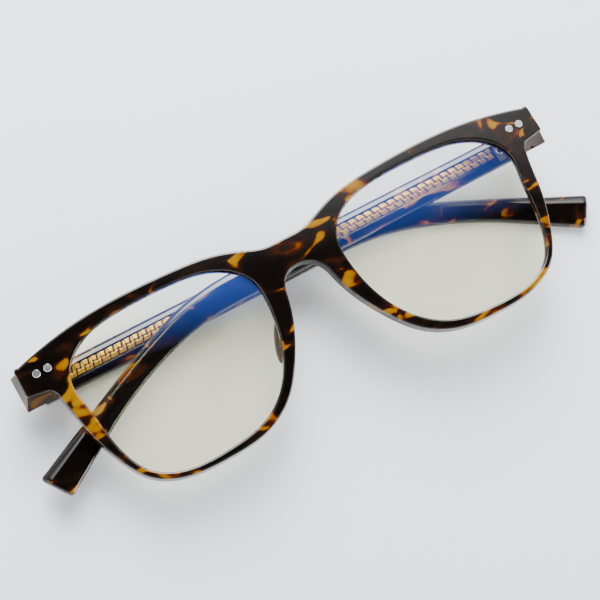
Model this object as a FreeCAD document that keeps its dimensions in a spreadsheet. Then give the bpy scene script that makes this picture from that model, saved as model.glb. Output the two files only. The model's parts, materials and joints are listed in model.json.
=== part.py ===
import FreeCAD, Part
import math
import os

import Sketcher

# Folded spectacles with clear blue-light lenses, in millimetres.
# Every piece is drawn in the wearing frame: X across the front, Y up the front and
# Z out of the front towards the viewer. One common rotation and shift then lays
# the folded spectacles on a table, with +Z up and the origin under their middle.

Vec = FreeCAD.Vector
X_AXIS = Vec(1, 0, 0)
Y_AXIS = Vec(0, 1, 0)
Z_AXIS = Vec(0, 0, 1)
ORIGIN = Vec(0, 0, 0)

DIMENSIONS = {
    # front
    "lens_spacing": 72.0,
    "opening_width": 50.0,
    "opening_height": 41.8,
    "rim_depth": 3.4,
    "front_radius": 1200.0,
    "front_round": 0.5,
    "bridge_top": 17.8,
    "bridge_arch": 10.6,
    "front_half_width": 71.9,
    "end_back": 7.2,
    "end_inside": 63.2,
    "end_flare": 1.0,
    "pocket_play": 0.02,
    "end_bottom": 10.3,
    "end_top": 19.4,
    # lenses
    "lens_thickness": 1.6,
    "lens_radius": 260.0,
    "lens_set_back": 0.85,
    "lens_bite": 0.8,
    "seat_clearance": 0.05,
    # hinges
    "pivot_offset": 66.6,
    "pivot_reach": 1.5,
    "pivot_height": 14.4,
    "barrel_radius": 1.4,
    "barrel_length": 1.7,
    "barrel_gap": 0.15,
    "leaf_height": 5.4,
    "leaf_depth": 1.0,
    "front_leaf_width": 5.2,
    "front_leaf_height": 6.6,
    "temple_leaf_length": 4.9,
    "screw_radius": 0.7,
    "screw_head_radius": 1.15,
    "screw_head_length": 0.6,
    "running_clearance": 0.04,
    # rivets
    "rivet_radius": 0.6,
    "rivet_head_radius": 0.95,
    "rivet_head_height": 0.3,
    "rivet_outer": 67.3,
    "rivet_spacing": 2.9,
    "rivet_height": 16.5,
    "temple_rivet_back": 4.5,
    "temple_rivet_length": 2.3,
    # temples
    "temple_thickness": 3.2,
    "ear_thickness": 3.0,
    "temple_round": 0.9,
    "butt_gap": 0.4,
    "bend_start": 80.0,
    "tip_reach": 144.5,
    "tip_bend": 1.8,
    "core_width": 3.2,
    "core_depth": 0.9,
    "core_recess": 0.05,
    "core_height": 0.4,
    "core_start": 6.6,
    "core_end": 77.0,
    # resting attitude
    "lean": 3.38,
    "roll": 1.88,
    "left_fold": -1.5,
    "right_fold": 2.0,
}

doc = FreeCAD.newDocument("glasses")
sheet = doc.addObject("Spreadsheet::Sheet", "dims")
for row, (alias, value) in enumerate(DIMENSIONS.items(), start=1):
    sheet.set(f"A{row}", alias)
    sheet.set(f"B{row}", str(value))
    sheet.setAlias(f"B{row}", alias)
doc.recompute()


def dim(alias):
    """The value of one cell of the sheet."""
    return float(sheet.get(alias))


def bind(obj, **expressions):
    """Ties properties of an object to cells of the sheet."""
    for prop, expression in expressions.items():
        obj.setExpression(prop, expression)
    return obj


# The sides: +1 is the wearer's left, on the +X side, whose temple folds first.
SIDES = {"left": 1, "right": -1}

# Outline points of one lens opening, as fractions of its half width and half
# height, from the temple side over the top to the nose and back underneath.
OPENING_POINTS = [
    (1.0, 0.31),
    (0.945, 0.67),
    (0.69, 0.905),
    (0.18, 1.0),
    (-0.32, 0.99),
    (-0.73, 0.87),
    (-0.96, 0.603),
    (-0.99, 0.24),
    (-0.92, -0.19),
    (-0.736, -0.603),
    (-0.432, -0.895),
    (0.02, -1.0),
    (0.44, -0.976),
    (0.745, -0.79),
    (0.905, -0.405),
]

# How many points carry a widened opening outline.
WIDENED_POINTS = 36

# The brow line from the middle of the bridge to the end piece, and the outside
# of the rim from the end piece round underneath to the bridge.
BROW_POINTS = [(5.5, 18.0), (10.5, 19.8), (17.0, 22.0), (28.0, 23.4), (41.0, 23.9)]
BROW_POINTS += [(55.0, 23.1), (64.0, 21.5), (70.4, 19.9)]
RIM_POINTS = [(65.2, 9.2), (64.2, 4.4), (62.9, -2.5), (60.0, -10.8), (55.6, -17.9)]
RIM_POINTS += [(48.5, -21.7), (38.0, -22.7), (27.0, -21.7), (19.2, -17.9)]
RIM_POINTS += [(12.2, -9.4), (7.7, -0.5), (5.9, 6.0)]


def flat(points, side=1):
    """Points of a drawing in the plane of the front, mirrored for side -1."""
    return [Vec(side * x, y, 0) for x, y in points]


def curve_through(points, closed=False):
    """A smooth edge through a few points."""
    spline = Part.BSplineCurve()
    spline.interpolate(Points=points, PeriodicFlag=closed)
    return spline.toShape()


def front_outline():
    """The closed outline of the whole front: brow, two end pieces, two rims and arch."""
    half = dim("front_half_width")
    brow_right = flat(BROW_POINTS)
    brow_left = flat(BROW_POINTS, -1)
    middle = [Vec(0, dim("bridge_top"), 0)]
    edges = [curve_through(list(reversed(brow_left)) + middle + brow_right)]
    for side in (1, -1):
        corner_top = flat([BROW_POINTS[-1], (half - 0.25, 19.6), (half - 0.1, 18.9)], side)
        end_foot = flat([(half - 0.1, 18.9), (half, 13.2)], side)
        corner_low = flat([(half, 13.2), (half - 0.2, 12.7), (half - 0.8, 12.4)], side)
        underside = flat([(half - 0.8, 12.4), (67.0, 11.7)], side)
        armpit = flat([(67.0, 11.7), (65.8, 10.9), RIM_POINTS[0]], side)
        edges.append(Part.Arc(*corner_top).toShape())
        edges.append(Part.LineSegment(*end_foot).toShape())
        edges.append(Part.Arc(*corner_low).toShape())
        edges.append(Part.LineSegment(*underside).toShape())
        edges.append(Part.Arc(*armpit).toShape())
        edges.append(curve_through(flat(RIM_POINTS, side)))
    foot_right, foot_left = flat([RIM_POINTS[-1]])[0], flat([RIM_POINTS[-1]], -1)[0]
    edges.append(Part.Arc(foot_right, Vec(0, dim("bridge_arch"), 0), foot_left).toShape())
    return Part.Wire(Part.__sortEdges__(edges))


def opening_outline(side, grow=0.0):
    """The closed outline of one lens opening, or the same outline widened by grow."""
    centre = dim("lens_spacing") / 2
    half_width = dim("opening_width") / 2
    half_height = dim("opening_height") / 2
    points = [(centre + half_width * u, half_height * v) for u, v in OPENING_POINTS]
    outline = curve_through(flat(points, side), closed=True)
    if grow == 0.0:
        return Part.Wire([outline])
    middle = Vec(side * centre, 0, 0)
    widened = []
    for step in range(WIDENED_POINTS):
        place = outline.valueAt(outline.FirstParameter + step * outline_span(outline))
        along = outline.tangentAt(outline.FirstParameter + step * outline_span(outline))
        outward = along.cross(Z_AXIS).normalize()
        if outward.dot(place - middle) < 0:
            outward = -outward
        widened.append(place + outward * grow)
    return Part.Wire([curve_through(widened, closed=True)])


def outline_span(outline):
    """The step of parameter between two points of a widened outline."""
    return (outline.LastParameter - outline.FirstParameter) / WIDENED_POINTS


def slab(wire, z_low, z_high):
    """A flat outline raised from z_low to z_high."""
    return Part.Face(wire).translated(Vec(0, 0, z_low)).extrude(Vec(0, 0, z_high - z_low))


def lens_shell(side, grow):
    """The space between the two spheres of a lens, thickened by grow on each side."""
    radius = dim("lens_radius")
    front_radius = dim("front_radius")
    tilt = math.asin(dim("lens_spacing") / 2 / front_radius)
    normal = Vec(side * math.sin(tilt), 0, math.cos(tilt))
    edge_sag = radius - math.sqrt(radius ** 2 - (dim("opening_width") / 2) ** 2)
    vertex_depth = front_radius + edge_sag - dim("lens_set_back")
    vertex = Vec(0, 0, -front_radius) + normal * vertex_depth
    centre = vertex - normal * radius
    outer = Part.makeSphere(radius + grow, centre)
    inner = Part.makeSphere(radius - dim("lens_thickness") - grow, centre)
    return outer.cut(inner)


def lens_solid(side, bite, grow):
    """A lens blank: the opening outline widened by bite, between the two spheres."""
    return slab(opening_outline(side, bite), -8, 6).common(lens_shell(side, grow))


def curved_front(wire, depth):
    """An outline raised between two upright cylinders, so that the front is bowed."""
    radius = dim("front_radius")
    base = Vec(0, -60, -radius)
    outer = Part.makeCylinder(radius, 120, base, Y_AXIS)
    inner = Part.makeCylinder(radius - depth, 120, base, Y_AXIS)
    return slab(wire, -20, 6).common(outer.cut(inner))


def bowed_depth(x):
    """How far the bowed front lies behind its middle, at x."""
    radius = dim("front_radius")
    return radius - math.sqrt(radius ** 2 - x ** 2)


def leaf_pocket(side, grow):
    """The recess for a front hinge leaf, in the back of an end piece."""
    width = dim("front_leaf_width")
    height = dim("front_leaf_height")
    depth = dim("leaf_depth")
    x_middle = side * (dim("pivot_offset") - 0.6)
    corner = Vec(x_middle - width / 2 - grow, dim("pivot_height") - height / 2 - grow,
                 -dim("end_back") - grow)
    return Part.makeBox(width + 2 * grow, height + 2 * grow, depth + 2 * grow, corner)


def end_block(side):
    """The thick back of an end piece, which carries the hinge."""
    half = dim("front_half_width")
    low, high = dim("end_bottom"), dim("end_top")
    inside, flare = dim("end_inside"), dim("end_flare")
    front_z = -bowed_depth(half) - 1.6
    back_z = -dim("end_back")
    front = flat([(inside, low + 0.7), (half - 0.1, low + 2.2), (half - 0.2, high - 0.3)], side)
    front += flat([(inside, high + 0.4)], side)
    back = flat([(inside + 0.4, low), (half + flare, low), (half + flare, high)], side)
    back += flat([(inside + 0.4, high)], side)
    wires = []
    for corners, z in ((front, front_z), (back, back_z)):
        raised = [corner + Vec(0, 0, z) for corner in corners]
        wires.append(Part.makePolygon(raised + raised[:1]))
    return Part.makeLoft(wires, True, True)


def part_feature(name, shape):
    """A document object that holds one finished shape."""
    feature = doc.addObject("Part::Feature", name)
    feature.Label = name
    feature.Shape = shape
    return feature


def largest_solid(shape):
    """The main solid of a boolean result, with seam edges cleaned away."""
    solids = sorted(shape.Solids, key=lambda solid: solid.Volume)
    return solids[-1].removeSplitter()


def make_front_frame():
    """The one-piece front, grooved for the lenses, recessed and drilled for the hinges."""
    shape = curved_front(front_outline(), dim("rim_depth"))
    for side in SIDES.values():
        shape = shape.fuse(end_block(side))
    for side in SIDES.values():
        seat = lens_solid(side, dim("lens_bite") + dim("seat_clearance"), dim("seat_clearance"))
        shape = shape.cut(slab(opening_outline(side), -20, 6))
        shape = shape.cut(seat)
        shape = shape.cut(leaf_pocket(side, dim("pocket_play")))
    shape = largest_solid(shape)
    shape = shape.makeFillet(dim("front_round"), front_edges(shape))
    for side in SIDES.values():
        for x in rivet_places(side):
            hole = Part.makeCylinder(dim("rivet_radius"), 12, Vec(x, dim("rivet_height"), -9), Z_AXIS)
            shape = shape.cut(hole)
    return part_feature("front_frame", largest_solid(shape))


def front_edges(shape):
    """The edges that lie on the bowed front surface: its outline and the lens openings."""
    radius = dim("front_radius")
    chosen = []
    for edge in shape.Edges:
        span = edge.LastParameter - edge.FirstParameter
        places = [edge.valueAt(edge.FirstParameter + share * span) for share in (0.1, 0.5, 0.9)]
        depths = [abs(math.hypot(place.x, place.z + radius) - radius) for place in places]
        if max(depths) < 0.002:
            chosen.append(edge)
    return chosen


def rivet_places(side):
    """The X positions of the outer and inner rivet on one side."""
    outer = dim("rivet_outer")
    return (side * outer, side * (outer - dim("rivet_spacing")))


def make_lens(side_name):
    """A plano meniscus lens that snaps into its seat."""
    shape = lens_solid(SIDES[side_name], dim("lens_bite"), 0.0)
    return part_feature("lens_" + side_name, largest_solid(shape))


def make_nose_pad(side_name):
    """A bonded pad behind the nose side of a rim, splayed to sit on the nose."""
    side = SIDES[side_name]
    sections = []
    for depth, grow in ((-0.8, 0.0), (2.2, -0.25), (4.2, -0.7), (5.0, -1.5)):
        x_middle = 10.3 + 0.42 * depth
        y_middle = -2.6
        half_wide = 1.65 + grow * 0.55
        half_tall = 6.4 + grow
        ellipse = Part.Ellipse(Vec(0, 0, 0), half_tall, half_wide)
        wire = Part.Wire([ellipse.toShape()])
        wire.rotate(ORIGIN, Z_AXIS, 90 + 24)
        wire.translate(Vec(x_middle, y_middle, -dim("rim_depth") - depth))
        sections.append(wire)
    back_radius = dim("front_radius") - dim("rim_depth")
    behind = Part.makeCylinder(back_radius, 120, Vec(0, -60, -dim("front_radius")), Y_AXIS)
    shape = Part.makeLoft(sections, True).common(behind)
    if side < 0:
        shape = shape.mirror(ORIGIN, X_AXIS)
    return part_feature("nose_pad_" + side_name, largest_solid(shape))


def attach_sketch(body, role, name):
    """A new sketch on one of a body's own origin planes."""
    sketch = body.newObject("Sketcher::SketchObject", name)
    planes = [plane for plane in body.Origin.OriginFeatures if plane.Role == role]
    sketch.AttachmentSupport = [(planes[0], "")]
    sketch.MapMode = "FlatFace"
    return sketch


def circle_sketch(body, role, name, radius_expression):
    """A sketch of one circle about the body's origin, its radius tied to the sheet."""
    sketch = attach_sketch(body, role, name)
    sketch.addGeometry(Part.Circle(ORIGIN, Z_AXIS, 1.0), False)
    sketch.addConstraint(Sketcher.Constraint("Coincident", 0, 3, -1, 1))
    index = sketch.addConstraint(Sketcher.Constraint("Radius", 0, 1.0))
    sketch.setExpression(f"Constraints[{index}]", radius_expression)
    return sketch


def new_body(name):
    """A PartDesign body whose label names its file."""
    body = doc.addObject("PartDesign::Body", name)
    body.Label = name
    return body


def pad_circle(body, name, radius_expression, length_expression, upward=True, role="XY_Plane"):
    """A disc or pin: a circle padded to a length from the sheet."""
    sketch = circle_sketch(body, role, name + "_sketch", radius_expression)
    pad = body.newObject("PartDesign::Pad", name)
    pad.Profile = sketch
    pad.setExpression("Length", length_expression)
    pad.Reversed = not upward
    return pad


def bevel_head(body):
    """A small bevel round the top of a rivet's head."""
    doc.recompute()
    base = body.Tip
    head_edges = []
    for index, edge in enumerate(base.Shape.Edges, start=1):
        middle = edge.BoundBox.Center
        if abs(middle.z - dim("rivet_head_height")) < 1e-6 and edge.Length > 4:
            head_edges.append(f"Edge{index}")
    chamfer = body.newObject("PartDesign::Chamfer", body.Name + "_bevel")
    chamfer.Base = (base, head_edges)
    chamfer.Size = 0.12


def make_rivet(side_name, number, x):
    """A domed-edge rivet: a head on the front face and a shank down to the hinge leaf."""
    body = new_body(f"rivet_{side_name}_{number}")
    pad_circle(body, f"head_{side_name}_{number}", "dims.rivet_head_radius", "dims.rivet_head_height")
    pad_circle(body, f"shank_{side_name}_{number}", "dims.rivet_radius - 0.02",
               "dims.end_back - 2", upward=False)
    bevel_head(body)
    return body, FreeCAD.Placement(Vec(x, dim("rivet_height"), -bowed_depth(abs(x)) + 0.02),
                                   FreeCAD.Rotation())


def pivot_frame(side):
    """The placement of a hinge: origin on the pivot, Z forward, X outward on the left."""
    place = Vec(side * dim("pivot_offset"), dim("pivot_height"), pivot_z())
    return FreeCAD.Placement(place, FreeCAD.Rotation())


def pivot_z():
    """The depth of the hinge pins behind the middle of the front."""
    return -dim("end_back") - dim("pivot_reach")


def box(name, corner, length, width, height):
    """A box primitive at a corner, its three sizes tied to expressions of the sheet."""
    primitive = doc.addObject("Part::Box", name)
    bind(primitive, Length=length, Width=width, Height=height)
    primitive.Placement.Base = corner
    return primitive


def upright_pin(name, base, radius, length):
    """A cylinder primitive along the hinge axis, its sizes tied to the sheet."""
    pin = doc.addObject("Part::Cylinder", name)
    bind(pin, Radius=radius, Height=length)
    pin.Placement = FreeCAD.Placement(base, FreeCAD.Rotation(X_AXIS, -90))
    return pin


def fuse(name, pieces):
    """One solid of several touching primitives."""
    union = doc.addObject("Part::MultiFuse", name)
    union.Shapes = pieces
    union.Refine = True
    return union


def cut(name, base, tool):
    """One piece less another."""
    result = doc.addObject("Part::Cut", name)
    result.Base = base
    result.Tool = tool
    result.Refine = True
    return result


def barrel_foot(place):
    """The lower end of barrel 0, 1 or 2, measured up the pin from its middle."""
    pitch = dim("barrel_length") + dim("barrel_gap")
    return (place - 1) * pitch - dim("barrel_length") / 2


def make_front_leaf(side_name):
    """The fixed half of a hinge: a sunk plate and two barrels, drilled for pin and rivets."""
    side = SIDES[side_name]
    name = "hinge_front_leaf_" + side_name
    reach = dim("pivot_reach")
    radius = dim("barrel_radius")
    width, height = dim("front_leaf_width"), dim("front_leaf_height")
    plate_x = -side * 0.6 - width / 2
    pieces = [box(name + "_plate", Vec(plate_x, -height / 2, reach), "dims.front_leaf_width",
                  "dims.front_leaf_height", "dims.leaf_depth")]
    for place in (0, 2):
        foot = barrel_foot(place)
        web_corner = Vec(-radius, foot, 0)
        pieces.append(box(f"{name}_web_{place}", web_corner, "2 * dims.barrel_radius",
                          "dims.barrel_length", "dims.pivot_reach + 0.1"))
        pieces.append(upright_pin(f"{name}_barrel_{place}", Vec(0, foot, 0),
                                  "dims.barrel_radius", "dims.barrel_length"))
    solid = fuse(name + "_blank", pieces)
    bore = upright_pin(name + "_bore", Vec(0, -10, 0), "dims.screw_radius + 0.02", "20")
    drills = [bore]
    for number, x in enumerate(rivet_places(side), start=1):
        drill = doc.addObject("Part::Cylinder", f"{name}_rivet_hole_{number}")
        bind(drill, Radius="dims.rivet_radius", Height="10")
        drill.Placement.Base = Vec(x - side * dim("pivot_offset"),
                                   dim("rivet_height") - dim("pivot_height"), reach - 0.5)
        drills.append(drill)
    finished = cut(name, solid, fuse(name + "_drills", drills))
    finished.Label = name
    return finished, pivot_frame(side)


def make_temple_leaf(side_name, turn):
    """The moving half of a hinge: a plate sunk in the temple and the middle barrel."""
    side = SIDES[side_name]
    name = "hinge_temple_leaf_" + side_name
    reach = dim("pivot_reach")
    radius = dim("barrel_radius")
    length = dim("temple_leaf_length")
    depth = dim("leaf_depth")
    height = dim("leaf_height")
    plate_x = reach if side > 0 else -reach - depth
    web_x = 0.0 if side > 0 else -reach - 0.1
    foot = barrel_foot(1)
    pieces = [
        box(name + "_plate", Vec(plate_x, -height / 2, -1.0 - length), "dims.leaf_depth",
            "dims.leaf_height", "dims.temple_leaf_length"),
        box(name + "_web", Vec(web_x, foot, -1.0 - radius), "dims.pivot_reach + 0.1",
            "dims.barrel_length", "dims.barrel_radius + 1.0"),
        upright_pin(name + "_barrel", Vec(0, foot, 0), "dims.barrel_radius", "dims.barrel_length"),
    ]
    solid = fuse(name + "_blank", pieces)
    bore = upright_pin(name + "_bore", Vec(0, -10, 0),
                       "dims.screw_radius + dims.running_clearance", "20")
    drill = doc.addObject("Part::Cylinder", name + "_rivet_hole")
    bind(drill, Radius="dims.rivet_radius", Height="10")
    drill.Placement = temple_rivet_place(side)
    drill.Placement.Base = drill.Placement.Base - Vec(side * 5, 0, 0)
    finished = cut(name, solid, fuse(name + "_drills", [bore, drill]))
    finished.Label = name
    return finished, pivot_frame(side).multiply(turn)


def temple_rivet_place(side):
    """Where the rivet sits in the open temple: on the leaf's face, its shank going outward."""
    base = Vec(side * dim("pivot_reach"), 0, -dim("temple_rivet_back"))
    return FreeCAD.Placement(base, FreeCAD.Rotation(Y_AXIS, side * 90))


def make_temple_rivet(side_name, turn):
    """The rivet that holds a temple leaf: a head on the leaf and a shank in the temple."""
    side = SIDES[side_name]
    body = new_body("temple_rivet_" + side_name)
    pad_circle(body, "temple_head_" + side_name, "dims.rivet_head_radius",
               "dims.rivet_head_height")
    pad_circle(body, "temple_shank_" + side_name, "dims.rivet_radius - 0.02",
               "dims.temple_rivet_length", upward=False)
    bevel_head(body)
    place = temple_rivet_place(side)
    place.Rotation = FreeCAD.Rotation(Y_AXIS, -side * 90)
    return body, pivot_frame(side).multiply(turn).multiply(place)


def make_screw(side_name):
    """The hinge screw: a slotted head over the top barrel and a plain pin below."""
    body = new_body("hinge_screw_" + side_name)
    pad_circle(body, "pin_" + side_name, "dims.screw_radius", "dims.leaf_height", upward=False)
    pad_circle(body, "cap_" + side_name, "dims.screw_head_radius", "dims.screw_head_length")
    doc.recompute()
    before = body.Shape.Volume
    slot = attach_sketch(body, "XY_Plane", "slot_sketch_" + side_name)
    half_long, half_wide = dim("screw_head_radius") + 0.2, 0.16
    corners = [Vec(-half_long, -half_wide, 0), Vec(half_long, -half_wide, 0)]
    corners += [Vec(half_long, half_wide, 0), Vec(-half_long, half_wide, 0)]
    for start, end in zip(corners, corners[1:] + corners[:1]):
        slot.addGeometry(Part.LineSegment(start, end), False)
    slot.AttachmentOffset = FreeCAD.Placement(Vec(0, 0, dim("screw_head_length")),
                                              FreeCAD.Rotation())
    pocket = body.newObject("PartDesign::Pocket", "slot_" + side_name)
    pocket.Profile = slot
    pocket.Length = 0.3
    doc.recompute()
    if body.Shape.Volume > before - 0.05:
        raise RuntimeError("the screw slot cut nothing")
    upright = FreeCAD.Placement(Vec(0, dim("leaf_height") / 2, 0), FreeCAD.Rotation(X_AXIS, -90))
    return body, pivot_frame(SIDES[side_name]).multiply(upright)


# The side view of a temple behind its pin: distance back and height, upper edge first.
UPPER_EDGE = [(80.0, 3.8), (94.0, 2.2), (106.0, -2.0), (119.0, -7.7), (143.2, -19.2)]
LOWER_EDGE = [(137.9, -26.0), (128.0, -19.6), (117.0, -13.2), (105.0, -8.0)]
LOWER_EDGE += [(93.0, -4.6), (80.0, -3.6)]


def side_points(points):
    """Side-view points in the plane of the temple, which runs back along -Z."""
    return [Vec(0, height, -back) for back, height in points]


# How the upper and lower edges of a temple run at its tip.
TIP_SLOPE_TOP = Vec(0, -0.46, -0.888)
TIP_SLOPE_LOW = Vec(0, 0.56, 0.83)


def straight_then_curve(points, start_run):
    """A smooth edge that leaves its first point level with the straight part of the temple."""
    spline = Part.BSplineCurve()
    placed = side_points(points)
    if start_run:
        spline.interpolate(Points=placed, InitialTangent=-Z_AXIS, FinalTangent=TIP_SLOPE_TOP)
    else:
        spline.interpolate(Points=placed, InitialTangent=TIP_SLOPE_LOW, FinalTangent=Z_AXIS)
    return spline.toShape()


def temple_side_outline():
    """The closed side view: straight bar, dropped ear piece and squared, rounded tip."""
    butt = dim("butt_gap") - dim("pivot_reach")
    high, low = UPPER_EDGE[0][1], LOWER_EDGE[-1][1]
    tip_top = side_points([UPPER_EDGE[-1], (144.6, -20.4), (144.3, -21.0)])
    tip_end = side_points([(144.3, -21.0), (140.2, -25.9)])
    tip_low = side_points([(140.2, -25.9), (139.3, -26.4), LOWER_EDGE[0]])
    edges = [
        Part.LineSegment(*side_points([(butt, low), (butt, high)])).toShape(),
        Part.LineSegment(*side_points([(butt, high), UPPER_EDGE[0]])).toShape(),
        straight_then_curve(UPPER_EDGE, True),
        Part.Arc(*tip_top).toShape(),
        Part.LineSegment(*tip_end).toShape(),
        Part.Arc(*tip_low).toShape(),
        straight_then_curve(LOWER_EDGE, False),
        Part.LineSegment(*side_points([LOWER_EDGE[-1], (butt, low)])).toShape(),
    ]
    return Part.Wire(Part.__sortEdges__(edges))


def inward_bend(back):
    """How far the inner face has curved towards the head, at a distance behind the pin."""
    start, end = dim("bend_start"), dim("tip_reach")
    if back <= start:
        return 0.0
    return dim("tip_bend") * ((back - start) / (end - start)) ** 2


def thickness(back):
    """The thickness of a temple, thinning evenly from the hinge to the ear."""
    share = min(max(back / 100.0, 0.0), 1.0)
    return dim("temple_thickness") + share * (dim("ear_thickness") - dim("temple_thickness"))


def plan_band(side):
    """The temple seen from above, between its inner and outer faces, raised upwards."""
    reach = dim("pivot_reach")
    stations = [-2.0, 40.0, 80.0, 92.0, 104.0, 116.0, 130.0, 146.0]
    inner = [Vec(side * (reach - inward_bend(d)), 0, -d) for d in stations]
    outer = [Vec(side * (reach + thickness(d) - inward_bend(d)), 0, -d) for d in stations]
    inner_edges = [Part.LineSegment(inner[0], inner[1]), Part.LineSegment(inner[1], inner[2])]
    outer_edges = [Part.LineSegment(outer[0], outer[1]), Part.LineSegment(outer[1], outer[2])]
    edges = [edge.toShape() for edge in inner_edges + outer_edges]
    edges += [curve_through(inner[2:]), curve_through(outer[2:])]
    edges.append(Part.LineSegment(inner[0], outer[0]).toShape())
    edges.append(Part.LineSegment(inner[-1], outer[-1]).toShape())
    face = Part.Face(Part.Wire(Part.__sortEdges__(edges)))
    return face.translated(Vec(0, -60, 0)).extrude(Vec(0, 120, 0))


def temple_blank(side):
    """The temple before its groove and recess: side view and plan view intersected."""
    profile = Part.Face(temple_side_outline()).translated(Vec(-20, 0, 0)).extrude(Vec(40, 0, 0))
    return largest_solid(profile.common(plan_band(side)))


def core_groove(side):
    """The straight groove for the core, in the inner face of the open temple."""
    play = 0.02
    reach, depth = dim("pivot_reach"), dim("core_depth")
    low_x = reach - 1.0 if side > 0 else -reach - depth - play
    width = dim("core_width") + 2 * play
    length = dim("core_end") - dim("core_start") + 2 * play
    corner = Vec(low_x, dim("core_height") - width / 2, -dim("core_end") - play)
    return Part.makeBox(depth + 1.0 + play, width, length, corner)


def make_temple(side_name, turn):
    """A temple: bar and ear piece, grooved for its core and recessed for its hinge leaf."""
    side = SIDES[side_name]
    shape = temple_blank(side)
    edges = [edge for edge in shape.Edges if edge.Length > 20]
    shape = shape.makeFillet(dim("temple_round"), edges)
    shape = shape.cut(core_groove(side))
    reach, depth = dim("pivot_reach"), dim("leaf_depth")
    height, length = dim("leaf_height"), dim("temple_leaf_length")
    low_x = reach - 1.0 if side > 0 else -reach - depth
    recess = Part.makeBox(depth + 1.0, height, length + 3.0, Vec(low_x, -height / 2, -1.0 - length))
    shape = shape.cut(recess)
    hole = Part.makeCylinder(dim("rivet_radius"), dim("temple_rivet_length") + 0.05)
    hole.Placement = temple_rivet_place(side)
    shape = shape.cut(hole)
    feature = part_feature("temple_" + side_name, largest_solid(shape))
    return feature, pivot_frame(side).multiply(turn)


def make_core(side_name, turn):
    """The flat metal core, let into the inner face of a temple just below flush."""
    side = SIDES[side_name]
    reach = dim("pivot_reach")
    low_x = reach + dim("core_recess") if side > 0 else -reach - dim("core_depth")
    corner = Vec(low_x, dim("core_height") - dim("core_width") / 2, -dim("core_end"))
    core = box("temple_core_" + side_name, corner, "dims.core_depth - dims.core_recess",
               "dims.core_width", "dims.core_end - dims.core_start")
    return core, pivot_frame(side).multiply(turn).multiply(core.Placement)


def folded_turn(side_name):
    """The turn about the hinge pin that folds an open temple behind the front."""
    side = SIDES[side_name]
    angle = side * (90.0 - dim(side_name + "_fold"))
    return FreeCAD.Placement(ORIGIN, FreeCAD.Rotation(Y_AXIS, angle))


# Every piece, with its placement in the wearing frame.
still = FreeCAD.Placement()
pieces = [(make_front_frame(), still)]
for side_name, side in SIDES.items():
    turn = folded_turn(side_name)
    pieces.append((make_lens(side_name), still))
    pieces.append((make_nose_pad(side_name), still))
    pieces.append(make_front_leaf(side_name))
    pieces.append(make_screw(side_name))
    for number, x in enumerate(rivet_places(side), start=1):
        pieces.append(make_rivet(side_name, number, x))
    pieces.append(make_temple_leaf(side_name, turn))
    pieces.append(make_temple(side_name, turn))
    pieces.append(make_core(side_name, turn))
    pieces.append(make_temple_rivet(side_name, turn))
doc.recompute()

# Tip the folded spectacles as they rest on the outer temple, then bring the middle
# of their underside to the origin.
attitude = FreeCAD.Rotation(Y_AXIS, -dim("roll")).multiply(FreeCAD.Rotation(X_AXIS, dim("lean")))
lean = FreeCAD.Placement(ORIGIN, attitude)
for piece, placement in pieces:
    piece.Placement = lean.multiply(placement)
doc.recompute()
points = []
for piece, placement in pieces:
    points += piece.Shape.tessellate(0.02)[0]
lows = [min(point[axis] for point in points) for axis in range(3)]
highs = [max(point[axis] for point in points) for axis in range(3)]
shift = Vec(-(lows[0] + highs[0]) / 2, -(lows[1] + highs[1]) / 2, -lows[2])
rest = FreeCAD.Placement(shift, FreeCAD.Rotation()).multiply(lean)
for piece, placement in pieces:
    piece.Placement = rest.multiply(placement)
doc.recompute()

for obj in doc.Objects:
    bad = [state for state in obj.State if state in ("Invalid", "Error")]
    if bad:
        raise RuntimeError(f"{obj.Label} is {bad}")
os.makedirs("parts", exist_ok=True)
for piece, placement in pieces:
    shape = piece.Shape
    if shape.isNull() or not shape.isValid() or len(shape.Solids) != 1:
        raise RuntimeError(f"{piece.Label} is not one valid solid")
    shape.exportStep(os.path.join("parts", piece.Label + ".step"))
    print(f"{piece.Label}: {shape.Volume:.2f} mm3, {len(shape.Faces)} faces")
print("shift", [round(value, 3) for value in shift])
for side_name, side in SIDES.items():
    pin = rest.multVec(pivot_frame(side).Base)
    print(side_name, "pin", [round(value, 4) for value in pin])
print("pin axis", [round(value, 6) for value in rest.Rotation.multVec(Y_AXIS)])
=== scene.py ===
"""Looks of the folded blue-light spectacles: fine meshes, materials, floor, light and camera."""

import json
import math

import bpy
import numpy as np
from mathutils import Matrix, Vector


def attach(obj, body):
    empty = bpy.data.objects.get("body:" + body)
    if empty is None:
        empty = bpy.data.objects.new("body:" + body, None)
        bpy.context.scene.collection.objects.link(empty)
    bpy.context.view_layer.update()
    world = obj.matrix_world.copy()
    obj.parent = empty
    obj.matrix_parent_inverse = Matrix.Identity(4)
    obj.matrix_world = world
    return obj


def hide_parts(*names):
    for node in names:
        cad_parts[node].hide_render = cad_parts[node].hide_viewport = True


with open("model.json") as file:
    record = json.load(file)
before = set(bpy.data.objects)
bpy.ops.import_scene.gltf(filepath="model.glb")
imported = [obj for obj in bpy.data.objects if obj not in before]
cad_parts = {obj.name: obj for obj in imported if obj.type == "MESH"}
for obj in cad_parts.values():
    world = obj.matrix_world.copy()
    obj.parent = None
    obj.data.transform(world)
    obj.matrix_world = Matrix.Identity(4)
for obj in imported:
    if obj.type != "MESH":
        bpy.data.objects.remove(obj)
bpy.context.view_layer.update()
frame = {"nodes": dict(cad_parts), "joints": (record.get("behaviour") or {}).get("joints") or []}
MM = 0.001


# ---------------------------------------------------------------- the wearing frame
# X across the front, Y up the front and Z out of the front, with its origin midway
# between the two lens openings, worked out from the two hinge pins.

PIN_OFFSET = 66.6
PIN_HEIGHT = 14.4
PIN_DEPTH = 8.7

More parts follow.
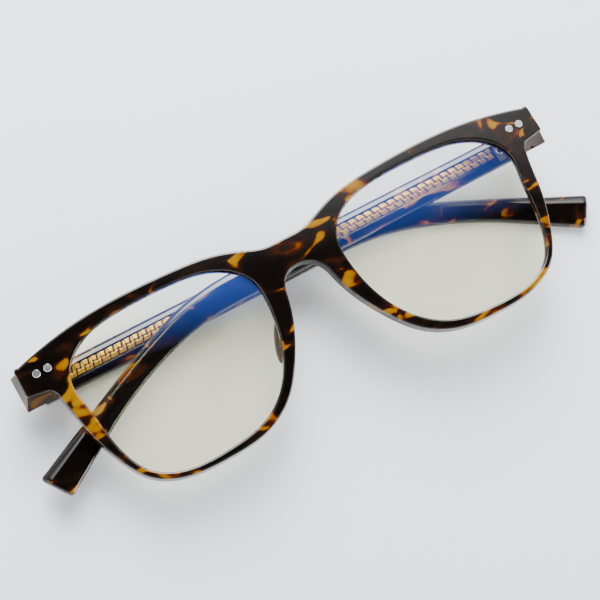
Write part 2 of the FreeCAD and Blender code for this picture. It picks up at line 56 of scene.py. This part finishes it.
joints = {joint["name"]: joint for joint in frame["joints"]}
left_pin = np.array(joints["left_temple_fold"]["pos_m"])
right_pin = np.array(joints["right_temple_fold"]["pos_m"])
up_front = np.array(joints["right_temple_fold"]["axis"])
across = (left_pin - right_pin) / np.linalg.norm(left_pin - right_pin)
out_front = np.cross(across, up_front)
AXES = np.array([across, up_front, out_front])
MIDDLE = (left_pin + right_pin) / 2 - PIN_HEIGHT * MM * up_front + PIN_DEPTH * MM * out_front


def placed(points):
    """Points of the wearing frame, in millimetres, as points of the row frame, in metres."""
    return MIDDLE + np.asarray(points, float) * MM @ AXES


def direction(vector):
    """A direction of the wearing frame as a unit direction of the row frame."""
    turned = np.asarray(vector, float) @ AXES
    return Vector(turned / np.linalg.norm(turned))


# ---------------------------------------------------------------- materials

def linear(hex_code):
    """An sRGB hex colour as linear RGBA."""
    channels = [int(hex_code[i:i + 2], 16) / 255 for i in (1, 3, 5)]
    values = [c / 12.92 if c <= 0.04045 else ((c + 0.055) / 1.055) ** 2.4 for c in channels]
    return (*values, 1.0)


def add(tree, kind, settings=None, links=None):
    """Adds a node, sets its properties or input sockets, and links sockets to its inputs."""
    node = tree.nodes.new(kind)
    for name, value in (settings or {}).items():
        if isinstance(name, str) and name not in node.inputs:
            setattr(node, name, value)
        else:
            node.inputs[name].default_value = value
    for name, source in (links or {}).items():
        tree.links.new(source, node.inputs[name])
    return node


def new_material(name):
    """An empty node material and its tree, with only the output node left."""
    material = bpy.data.materials.new(name)
    material.use_nodes = True
    tree = material.node_tree
    tree.nodes.clear()
    return material, tree


def ramp(tree, source, stops):
    """A colour ramp over a 0 to 1 value, from (position, hex) stops."""
    node = add(tree, "ShaderNodeValToRGB", links={"Fac": source})
    band = node.color_ramp
    while len(band.elements) < len(stops):
        band.elements.new(0.5)
    for element, (position, code) in zip(band.elements, stops):
        element.position = position
        element.color = linear(code)
    return node.outputs["Color"]


# Depths below the front's face, in metres, between which the rear walls turn to the clearer amber
# of the lamination, partly painted glow of light shining through the acetate.
LAMINATE_AND_GLOW_START, LAMINATE_AND_GLOW_FULL = 2.0 * MM, 3.4 * MM


def tortoiseshell(name, laminate_and_glow, spare):
    """Block-laminated cellulose acetate, tumbled to a high gloss: nearly black brown with
    sparse, sharp-edged amber flakes. The front is laminated on a clearer amber layer, and
    its rear walls are mixed towards a dark amber that is partly that layer's own colour and
    partly painted glow of light shining through the acetate; their reflection is also
    turned down there as painted shade. The second argument is how far that mix goes and
    spare how rare the flakes are."""
    material, tree = new_material(name)
    place = add(tree, "ShaderNodeTexCoord").outputs["Object"]
    flow = add(tree, "ShaderNodeMapping", {"Rotation": (0.3, 0.5, -0.5), "Scale": (1.0, 1.7, 1.3)},
               {"Vector": place}).outputs["Vector"]
    flakes = add(tree, "ShaderNodeTexNoise",
                 {"Scale": 120.0, "Detail": 1.5, "Roughness": 0.45, "Distortion": 1.1},
                 {"Vector": flow}).outputs["Fac"]
    broad = add(tree, "ShaderNodeTexNoise", {"Scale": 38.0, "Detail": 1.0},
                {"Vector": place}).outputs["Fac"]
    value = add(tree, "ShaderNodeMath", {"operation": "MULTIPLY_ADD", 1: 0.3},
                {0: broad, 2: flakes}).outputs[0]
    depth = add(tree, "ShaderNodeVectorMath", {"operation": "DOT_PRODUCT", 1: tuple(out_front)},
                {0: place}).outputs["Value"]
    front_level = float(np.dot(MIDDLE, out_front))
    laminate_and_glow_mask = add(tree, "ShaderNodeMapRange",
                 {"From Min": front_level - LAMINATE_AND_GLOW_START, "From Max": front_level - LAMINATE_AND_GLOW_FULL,
                  "To Min": 0.0, "To Max": laminate_and_glow}, {"Value": depth}).outputs["Result"]
    value = add(tree, "ShaderNodeMath", {"operation": "SUBTRACT", 1: spare}, {0: value}).outputs[0]
    colour = ramp(tree, value, [(0.0, "#050403"), (0.44, "#0A0605"), (0.53, "#180C07"),
                                (0.575, "#2C1004"), (0.592, "#4E1E02"), (0.604, "#704200"),
                                (0.66, "#805C00"), (1.0, "#8C6A00")])
    # Painted glow: the rear walls are mixed towards a dark amber, partly the lamination's own
    # colour and partly light shining through the acetate.
    colour = add(tree, "ShaderNodeMixRGB", {"Color2": linear("#3A2403")},
                 {"Fac": laminate_and_glow_mask, "Color1": colour}).outputs["Color"]
    # Painted shade: the rear walls' reflection is turned down to stand in for the shade they lie
    # in.
    gloss = add(tree, "ShaderNodeMapRange", {"To Min": 0.5, "To Max": 0.15},
                {"Value": laminate_and_glow_mask}).outputs["Result"]
    shader = add(tree, "ShaderNodeBsdfPrincipled", {"Roughness": 0.06, "IOR": 1.49},
                 {"Base Color": colour, "Specular IOR Level": gloss})
    add(tree, "ShaderNodeOutputMaterial", links={"Surface": shader.outputs["BSDF"]})
    return material


def coated_lens():
    """Cast resin with a multilayer coating: almost clear, faintly yellow in what it lets
    through and strongly blue in what it mirrors."""
    material, tree = new_material("coated_resin_lens")
    shader = add(tree, "ShaderNodeBsdfPrincipled",
                 {"Base Color": linear("#F3F5E6"), "Roughness": 0.0, "IOR": 1.6,
                  "Transmission Weight": 1.0, "Specular IOR Level": 1.0,
                  "Specular Tint": (0.05, 0.17, 1.0, 1.0)})
    add(tree, "ShaderNodeOutputMaterial", links={"Surface": shader.outputs["BSDF"]})
    return material


def metal(name, code, roughness):
    """A polished or satin metal with a fine cloudiness in its gloss."""
    material, tree = new_material(name)
    place = add(tree, "ShaderNodeTexCoord").outputs["Object"]
    cloud = add(tree, "ShaderNodeTexNoise", {"Scale": 900.0, "Detail": 3.0}, {"Vector": place})
    rough = add(tree, "ShaderNodeMapRange", {"To Min": roughness * 0.7, "To Max": roughness * 1.4},
                {"Value": cloud.outputs["Fac"]})
    tone = add(tree, "ShaderNodeMixRGB", {"blend_type": "MULTIPLY", "Fac": 0.12,
                                          "Color1": linear(code)},
               {"Color2": cloud.outputs["Color"]})
    shader = add(tree, "ShaderNodeBsdfPrincipled", {"Metallic": 1.0},
                 {"Base Color": tone.outputs["Color"], "Roughness": rough.outputs["Result"]})
    add(tree, "ShaderNodeOutputMaterial", links={"Surface": shader.outputs["BSDF"]})
    return material


def gilt_wire():
    """Rolled gilt core wire: warm gold, with painted shade in dark brown along the grooves where
    the rolled pattern is cut.
    """
    material, tree = new_material("rolled_gilt_core_wire")
    cut = add(tree, "ShaderNodeAttribute", {"attribute_name": "cut"}).outputs["Fac"]
    place = add(tree, "ShaderNodeTexCoord").outputs["Object"]
    cloud = add(tree, "ShaderNodeTexNoise", {"Scale": 700.0, "Detail": 3.0}, {"Vector": place})
    tone = ramp(tree, cloud.outputs["Fac"], [(0.3, "#DB9A1E"), (0.7, "#F8CC58")])
    # Painted shade: the cut grooves and the wire's long edges are coloured near black brown,
    # standing in for the shade inside them.
    gold_with_painted_groove_shade = add(tree, "ShaderNodeMixRGB", {"Color2": linear("#140A05")},
                {"Fac": cut, "Color1": tone}).outputs["Color"]
    shader = add(tree, "ShaderNodeBsdfPrincipled", {"Metallic": 0.9, "Roughness": 0.28},
                 {"Base Color": gold_with_painted_groove_shade})
    add(tree, "ShaderNodeOutputMaterial", links={"Surface": shader.outputs["BSDF"]})
    return material


front_shell = tortoiseshell("laminated_tortoiseshell_acetate", 0.55, 0.194)
temple_shell = tortoiseshell("tortoiseshell_acetate", 0.0, 0.205)
lens_resin = coated_lens()
nickel_silver = metal("satin_nickel_silver", "#C9C7C2", 0.3)
rivet_steel = metal("polished_steel", "#D9DADC", 0.16)
gilt_core = gilt_wire()

for name, node in frame["nodes"].items():
    if "lens" in name:
        chosen = lens_resin
    elif "core" in name:
        chosen = gilt_core
    elif "rivet" in name:
        chosen = rivet_steel
    elif "hinge" in name:
        chosen = nickel_silver
    else:
        chosen = front_shell
    node.data.materials.clear()
    node.data.materials.append(chosen)
for side in ("left", "right"):
    frame["nodes"]["lens_" + side].visible_shadow = False


# ---------------------------------------------------------------- temples and their cores

SIDES = {"left": 1, "right": -1}

# Millimetres from the hinge pin: back along the open temple, up, and outward from the head.
REACH = 1.5                          # outward to the temple's inner face
BUTT = -1.1                          # back to the temple's front end
BEND_START, TIP_REACH = 80.0, 144.5  # back to where the ear bend starts and to the tip
CORE_START, CORE_END = 6.6, 77.0     # back to the ends of the core wire
CORE_HEIGHT, CORE_WIDTH = 0.3, 2.9   # up to the core's middle line, and its width
TIP_BEND = 1.8                       # how far inward the tip is bent
FOLD_SHORT = {"left": -1.5, "right": 2.0}  # degrees short of a right angle when folded

THICKNESS, THINNING, THINNING_LENGTH = 3.2, 0.2, 100.0
SECTION_POWER = 4.5
SECTION_POINTS = 96
BEVEL = 0.8
TIP_ROLL = 1.1
BUTT_ROLL = (0.35, 0.3, 0.1, 0.0)
ROLL_DEPTH = 0.8
TRENCH_DEPTH = 0.3

# The side view of the ear bend, as distance behind the pin and height, along its two edges.
UPPER_EDGE = [(80.0, 3.8), (94.0, 2.2), (106.0, -2.0), (119.0, -7.7), (144.6, -19.85)]
LOWER_EDGE = [(80.0, -3.6), (93.0, -4.6), (105.0, -8.0), (117.0, -13.2), (128.0, -19.6),
              (139.8, -26.9)]
EDGE_POINTS = 90

# The rolled pattern of the core: slanted bricks as far as BRICK_END, then plain ribs.
BRICK_PITCH, RIB_PITCH, BRICK_END = 2.25, 1.1, 45.0
BRICK_SLANT = 0.3
BRICK_LEAN = 0.14
SEAM_WAVE = 0.22
JOINT_GAP, SEAM_GAP, RIB_GAP = 0.22, 0.16, 0.14
CUT_DEPTH = 0.09
CROWN = 0.10
CORE_SINK, CORE_BACK = 0.05, 0.9


def distance_along(points):
    """The distance run along a row of points, from zero at the first."""
    steps = np.linalg.norm(np.diff(points, axis=0), axis=1)
    return np.concatenate([[0], np.cumsum(steps)])


def spline_through(points, count):
    """Points at even steps along a cubic Hermite curve through a few given points: it starts
    level, and its other slopes are half the way between a point's neighbours."""
    knots = np.asarray(points, float)
    slopes = np.gradient(knots, axis=0)
    slopes[0] = (np.linalg.norm(knots[1] - knots[0]), 0.0)
    fine = np.linspace(0, len(knots) - 1, 40 * len(knots))
    low = np.minimum(fine.astype(int), len(knots) - 2)
    share = (fine - low)[:, None]
    curve = (knots[low] * (2 * share ** 3 - 3 * share ** 2 + 1)
             + slopes[low] * (share ** 3 - 2 * share ** 2 + share)
             + knots[low + 1] * (3 * share ** 2 - 2 * share ** 3)
             + slopes[low + 1] * (share ** 3 - share ** 2))
    run = distance_along(curve)
    even = np.linspace(0, run[-1], count)
    return np.stack([np.interp(even, run, curve[:, axis]) for axis in (0, 1)], axis=1)


def inward_bend(back):
    """How far the temple has curved towards the head, growing as the square of distance."""
    share = np.clip((back - BEND_START) / (TIP_REACH - BEND_START), 0, None)
    return TIP_BEND * share ** 2


def thickness(back):
    """The thickness of a temple, thinning evenly over THINNING_LENGTH."""
    return THICKNESS - THINNING * np.clip(back / THINNING_LENGTH, 0, 1)


def folded(side_name, outward, height, back):
    """Places points of an open temple (outward, height, back) as the temple lies folded."""
    side = SIDES[side_name]
    turn = math.radians(side * (90.0 - FOLD_SHORT[side_name]))
    x, z = side * outward, -back
    turned = [x * math.cos(turn) + z * math.sin(turn) + side * PIN_OFFSET,
              height + PIN_HEIGHT + 0 * x,
              -x * math.sin(turn) + z * math.cos(turn) - PIN_DEPTH]
    return placed(np.stack(turned, axis=-1))


def ring_mesh(name, rings, flip, cut=None):
    """A closed tube from rings of points, with a flat cap at each end. Point c of ring r is
    vertex r * ring + c, and cut gives each vertex how deep the rolled pattern is there."""
    rows, ring = rings.shape[:2]
    row, column = np.mgrid[0:rows - 1, 0:ring]
    following = (column + 1) % ring
    quads = np.stack([row * ring + column, row * ring + following,
                      (row + 1) * ring + following, (row + 1) * ring + column], axis=-1)
    quads = quads.reshape(-1, 4)
    first, last = np.arange(ring)[::-1], np.arange(ring) + (rows - 1) * ring
    faces = [*quads.tolist(), first.tolist(), last.tolist()]
    if flip:
        faces = [face[::-1] for face in faces]
    mesh = bpy.data.meshes.new(name)
    mesh.from_pydata(rings.reshape(-1, 3), [], faces)
    smooth = np.ones(len(faces), bool)
    smooth[-2:] = False
    mesh.polygons.foreach_set("use_smooth", smooth)
    if cut is not None:
        mesh.attributes.new("cut", "FLOAT", "POINT").data.foreach_set("value", cut.ravel())
    piece = bpy.data.objects.new(name, mesh)
    bpy.context.scene.collection.objects.link(piece)
    return piece


def edge_line(stations, edge):
    """One edge of the side view: level over the given stations, then along the ear bend."""
    level = np.stack([stations, np.full(len(stations), edge[0][1])], axis=1)
    return np.concatenate([level, spline_through(edge, EDGE_POINTS)[1:]])


def superellipse(count):
    """Points round the section |x|^p + |y|^p = 1, as rows of x and of y."""
    around = np.linspace(0, 2 * np.pi, count, endpoint=False)
    return [np.sign(wave) * np.abs(wave) ** (2 / SECTION_POWER)
            for wave in (np.cos(around), np.sin(around))]


def make_temple(side_name):
    """An acetate temple: a superellipse section, bevelled along the top of its inner face,
    carried from the hinge along the side view's two edges, with a shallow trench for the
    core and a tip whose edge is rolled over in a quarter circle."""
    straight = np.concatenate([[BUTT, BUTT, BUTT + 0.08, BUTT + 0.3],
                               np.linspace(0, CORE_START - 0.2, 8),
                               np.linspace(CORE_START, CORE_END, 60),
                               np.linspace(CORE_END + 0.2, BEND_START, 4)])
    upper, lower = edge_line(straight, UPPER_EDGE), edge_line(straight, LOWER_EDGE)
    middle, half = (upper + lower) / 2, (upper - lower) / 2

    run = distance_along(middle)
    body = run[run[-1] - run > TIP_ROLL]
    to_tip = np.linspace(TIP_ROLL, 0, 9)
    stations = np.concatenate([body, run[-1] - to_tip])
    back, height = [np.interp(stations, run, middle[:, axis]) for axis in (0, 1)]
    half_back, half_height = [np.interp(stations, run, half[:, axis]) for axis in (0, 1)]
    quarter_circle = TIP_ROLL * (1 - np.sqrt(1 - (1 - to_tip / TIP_ROLL) ** 2))
    rolled = np.concatenate([np.zeros(len(body)), quarter_circle])
    rolled[:len(BUTT_ROLL)] = BUTT_ROLL

    across_face, up_face = superellipse(SECTION_POINTS)
    shrink = 1 - rolled / np.hypot(half_back, half_height)
    section_back = back[:, None] + np.outer(half_back * shrink, up_face)
    section_height = height[:, None] + np.outer(half_height * shrink, up_face)
    wall = thickness(section_back) / 2
    depth = wall - rolled[:, None] * ROLL_DEPTH
    bevel = BEVEL * np.clip(2 * up_face[None, :] - 1, 0, 1) * (across_face[None, :] > 0)
    outward = REACH + wall - inward_bend(section_back) - (depth - bevel) * across_face[None, :]
    in_trench = ((np.abs(section_height - CORE_HEIGHT) < CORE_WIDTH / 2 + 0.05)
                 & (across_face[None, :] > 0.5)
                 & (section_back > CORE_START - 0.1) & (section_back < CORE_END + 0.1))
    outward = np.where(in_trench, np.maximum(outward, REACH + TRENCH_DEPTH), outward)

    rings = folded(side_name, outward, section_height, section_back)
    piece = ring_mesh("acetate_temple_" + side_name, rings, side_name == "right")
    piece.data.materials.append(temple_shell)
    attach(piece, side_name + "_temple")
    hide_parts("temple_" + side_name)
    return piece


def from_joint(along, pitch):
    """The distance to the nearest joint of a pattern that repeats along the core."""
    return np.abs(((along / pitch) % 1.0) - 0.5) * pitch


def brick_pattern(along, over):
    """How deeply the core is cut, 0 to 1, at a place along it and across it, in millimetres:
    two rows of slanted blocks, half a block out of step, then plain cross ribs."""
    middle_line = SEAM_WAVE * (np.abs(((along / BRICK_PITCH) % 1.0) - 0.5) * 4 - 1)
    out_of_step = np.where(over > middle_line, 0.0, 0.5 * BRICK_PITCH)
    to_joint = from_joint(along + out_of_step - BRICK_SLANT * over, BRICK_PITCH)
    blocks = np.clip(1.35 - to_joint / JOINT_GAP, 0, 1)
    seam = np.clip(1.3 - np.abs(over - middle_line) / SEAM_GAP, 0, 1)
    ribs = np.clip(1.2 - from_joint(along, RIB_PITCH) / RIB_GAP, 0, 1)
    ribs = ribs * (np.abs(over) < 1.0) * 0.7
    edge = np.clip((np.abs(over) - CORE_WIDTH / 2 + 0.16) / 0.1, 0, 1)
    return np.maximum(np.where(along < BRICK_END, np.maximum(blocks, seam), ribs), edge * 0.8)


def make_core(side_name):
    """The rolled core wire: a flat bar whose face is crowned, as the square of the distance
    from its middle line, leans a little from brick to brick, and is cut by the pattern."""
    along = np.linspace(0, CORE_END - CORE_START, 700)
    over = np.linspace(-CORE_WIDTH / 2, CORE_WIDTH / 2, 41)
    cut = brick_pattern(along[:, None], over[None, :])
    crown = CROWN * (over / over[-1]) ** 2
    lean = BRICK_LEAN * ((along[:, None] / BRICK_PITCH + 0.5 * (over[None, :] < 0)) % 1.0)
    face = REACH + CORE_SINK + crown[None, :] + CUT_DEPTH * cut + lean
    rows = len(along)
    outward = np.concatenate([face, np.full((rows, 2), REACH + CORE_BACK)], axis=1)
    height = CORE_HEIGHT + np.concatenate([over, [over[-1], over[0]]])
    heights = np.broadcast_to(height, outward.shape)
    backs = np.broadcast_to((CORE_START + along)[:, None], outward.shape)
    cuts = np.concatenate([cut, np.zeros((rows, 2))], axis=1)
    rings = folded(side_name, outward, heights, backs)
    piece = ring_mesh("core_wire_" + side_name, rings, side_name == "right", cuts)
    piece.data.materials.append(gilt_core)
    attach(piece, side_name + "_temple")
    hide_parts("temple_core_" + side_name)
    return piece


for side_name in SIDES:
    make_temple(side_name)
    make_core(side_name)


# ---------------------------------------------------------------- stage, light, camera

floor_material, tree = new_material("pale_floor")
shader = add(tree, "ShaderNodeBsdfPrincipled", {"Base Color": linear("#ECEEF4"), "Roughness": 0.45})
add(tree, "ShaderNodeOutputMaterial", links={"Surface": shader.outputs["BSDF"]})
bpy.ops.mesh.primitive_plane_add(size=4.0, location=(0, 0, 0))
floor = bpy.context.object
floor.name = "floor"
floor.data.materials.append(floor_material)

# Cosines of the angle from the way the front faces: the light tent is dark within the
# first and fully bright beyond the second.
TENT_OPENING, TENT_WALL = 0.8, 0.3


def light_tent():
    """A white tent round a dark gap above the front, bright towards the horizon."""
    world = bpy.data.worlds.new("studio")
    world.use_nodes = True
    tree = world.node_tree
    tree.nodes.clear()
    way = add(tree, "ShaderNodeTexCoord").outputs["Generated"]
    facing = add(tree, "ShaderNodeVectorMath", {"operation": "DOT_PRODUCT", 1: tuple(out_front)},
                 {0: way}).outputs["Value"]
    glow = add(tree, "ShaderNodeMapRange", {"From Min": TENT_OPENING, "From Max": TENT_WALL,
                                            "To Min": 0.02, "To Max": 2.2}, {"Value": facing})
    sky = add(tree, "ShaderNodeBackground", {"Color": linear("#F2F3F8")},
              {"Strength": glow.outputs["Result"]})
    add(tree, "ShaderNodeOutputWorld", links={"Surface": sky.outputs["Background"]})
    return world


bpy.context.scene.world = light_tent()


def area_light(name, towards, distance, size, radiance):
    """A square soft light in a direction of the wearing frame, facing the middle of the front."""
    light = bpy.data.lights.new(name, "AREA")
    light.size = size
    light.energy = radiance * math.pi * size ** 2
    lamp = bpy.data.objects.new(name, light)
    bpy.context.scene.collection.objects.link(lamp)
    way = direction(towards)
    lamp.location = Vector(MIDDLE) + way * distance
    lamp.rotation_euler = way.to_track_quat("Z", "Y").to_euler()
    return lamp


def soft_panel(name, low, high, half_width, radiance):
    """A tall diffuser standing between two directions of the wearing frame, dark along its
    low edge and brightening evenly over most of its height, fading to its sides."""
    material, tree = new_material(name + "_glow")
    place = add(tree, "ShaderNodeTexCoord").outputs["Object"]
    part = add(tree, "ShaderNodeSeparateXYZ", links={"Vector": place})
    low, high = direction(low), direction(high)
    half_height = (high - low).length / 2
    rise = add(tree, "ShaderNodeMapRange", {"From Min": -half_height, "From Max": 0.4 * half_height,
                                            "To Min": 0.0, "To Max": radiance},
               {"Value": part.outputs["Y"]}).outputs["Result"]
    aside = add(tree, "ShaderNodeMath", {"operation": "ABSOLUTE"}, {0: part.outputs["X"]})
    spread = add(tree, "ShaderNodeMapRange", {"From Min": 0.15 * half_width, "From Max": half_width,
                                              "To Min": 1.0, "To Max": 0.0},
                 {"Value": aside.outputs[0]}).outputs["Result"]
    glow = add(tree, "ShaderNodeMath", {"operation": "MULTIPLY"}, {0: rise, 1: spread})
    shader = add(tree, "ShaderNodeEmission", links={"Strength": glow.outputs[0]})
    add(tree, "ShaderNodeOutputMaterial", links={"Surface": shader.outputs["Emission"]})
    corners = [(-half_width, -half_height, 0), (half_width, -half_height, 0),
               (half_width, half_height, 0), (-half_width, half_height, 0)]
    mesh = bpy.data.meshes.new(name)
    mesh.from_pydata(corners, [], [(0, 1, 2, 3)])
    mesh.materials.append(material)
    panel = bpy.data.objects.new(name, mesh)
    bpy.context.scene.collection.objects.link(panel)
    upward = (high - low).normalized()
    middle = (low + high) / 2
    right = upward.cross(middle).normalized()
    away = right.cross(upward)
    turned = Matrix((right, upward, away)).transposed().to_4x4()
    panel.matrix_world = Matrix.Translation(Vector(MIDDLE) + middle) @ turned
    panel.visible_camera = False
    return panel


soft_panel("back_panel", (0.25, 0.225, 0.95), (0.25, 0.93, 0.25), 0.5, 26.0)
area_light("left_softbox", (-0.9, 0.05, 0.42), 1.2, 0.7, 2.0)
area_light("right_softbox", (0.75, -0.55, 0.42), 1.2, 0.7, 10.0)

# Where the camera stands and how it is turned, in the wearing frame.
CAMERA_PLACE = (-103.98, -82.60, 430.89)
CAMERA_RIGHT = (0.862579, -0.495550, 0.101924)
CAMERA_UP = (0.454858, 0.847816, 0.272603)
CAMERA_LENS, CAMERA_SENSOR = 113.2, 36.0

camera_data = bpy.data.cameras.new("camera")
camera_data.lens = CAMERA_LENS
camera_data.sensor_width = CAMERA_SENSOR
camera_data.clip_start = 0.01
camera = bpy.data.objects.new("camera", camera_data)
bpy.context.scene.collection.objects.link(camera)
right = direction(CAMERA_RIGHT)
up = direction(CAMERA_UP)
facing = Matrix((right, up, right.cross(up))).transposed()
camera.matrix_world = Matrix.Translation(Vector(placed(CAMERA_PLACE))) @ facing.to_4x4()
bpy.context.scene.camera = camera
